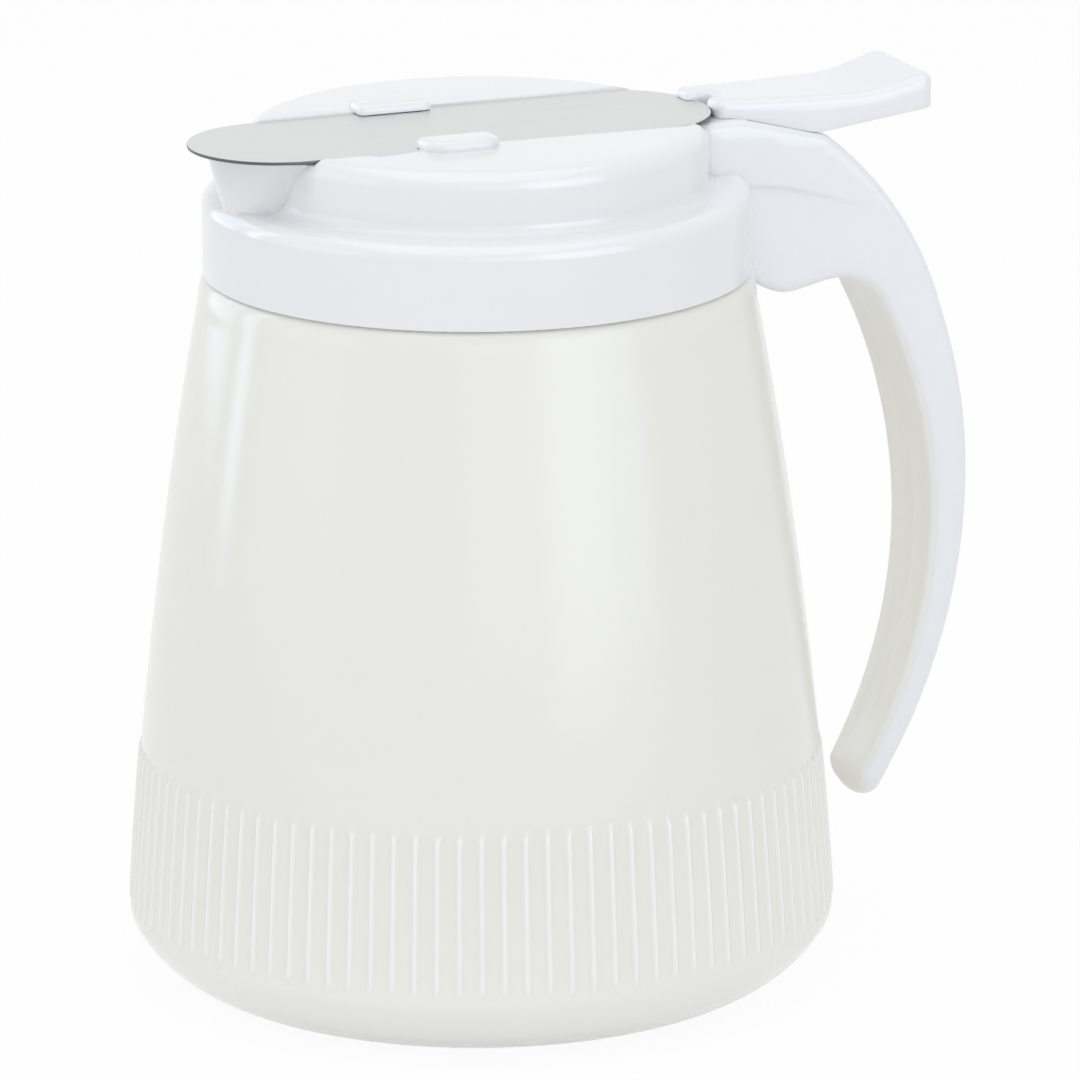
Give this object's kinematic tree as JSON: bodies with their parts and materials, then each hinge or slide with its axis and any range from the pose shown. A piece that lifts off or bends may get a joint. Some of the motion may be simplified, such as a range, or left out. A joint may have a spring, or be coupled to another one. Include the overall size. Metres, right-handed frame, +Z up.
{
  "type": "syrup dispenser",
  "caption": "Ribbed plastic jar with a screw-on spout lid, a curved side handle and a thumb-drawn steel slide that closes the spout.",
  "frame": {"origin": "centre of the jar's foot, on the surface it stands on", "axes": "+Z up along the jar's axis, -X towards the spout, +X towards the handle, +Y to the left when facing +X"},
  "size_m": [0.1677, 0.1374, 0.1722],
  "materials": {
    "jar": "milky, slightly translucent, satin",
    "lid": "smooth white, softly glossy",
    "handle": "smooth white, softly glossy",
    "slide": "satin stainless sheet",
    "lever": "smooth white, softly glossy"
  },
  "bodies": {
    "server": {"jar": "jar", "lid": "lid", "handle": "handle"},
    "slider": {"slide": "slide", "thumb_lever": "lever"}
  },
  "joints": [
    {"name": "slide_draw", "type": "slide", "parent": "server", "child": "slider", "axis": [1, 0, 0], "range_m": [0, 0.027], "stiffness_N_per_m": 60, "springref_m": -0.03}
  ]
}
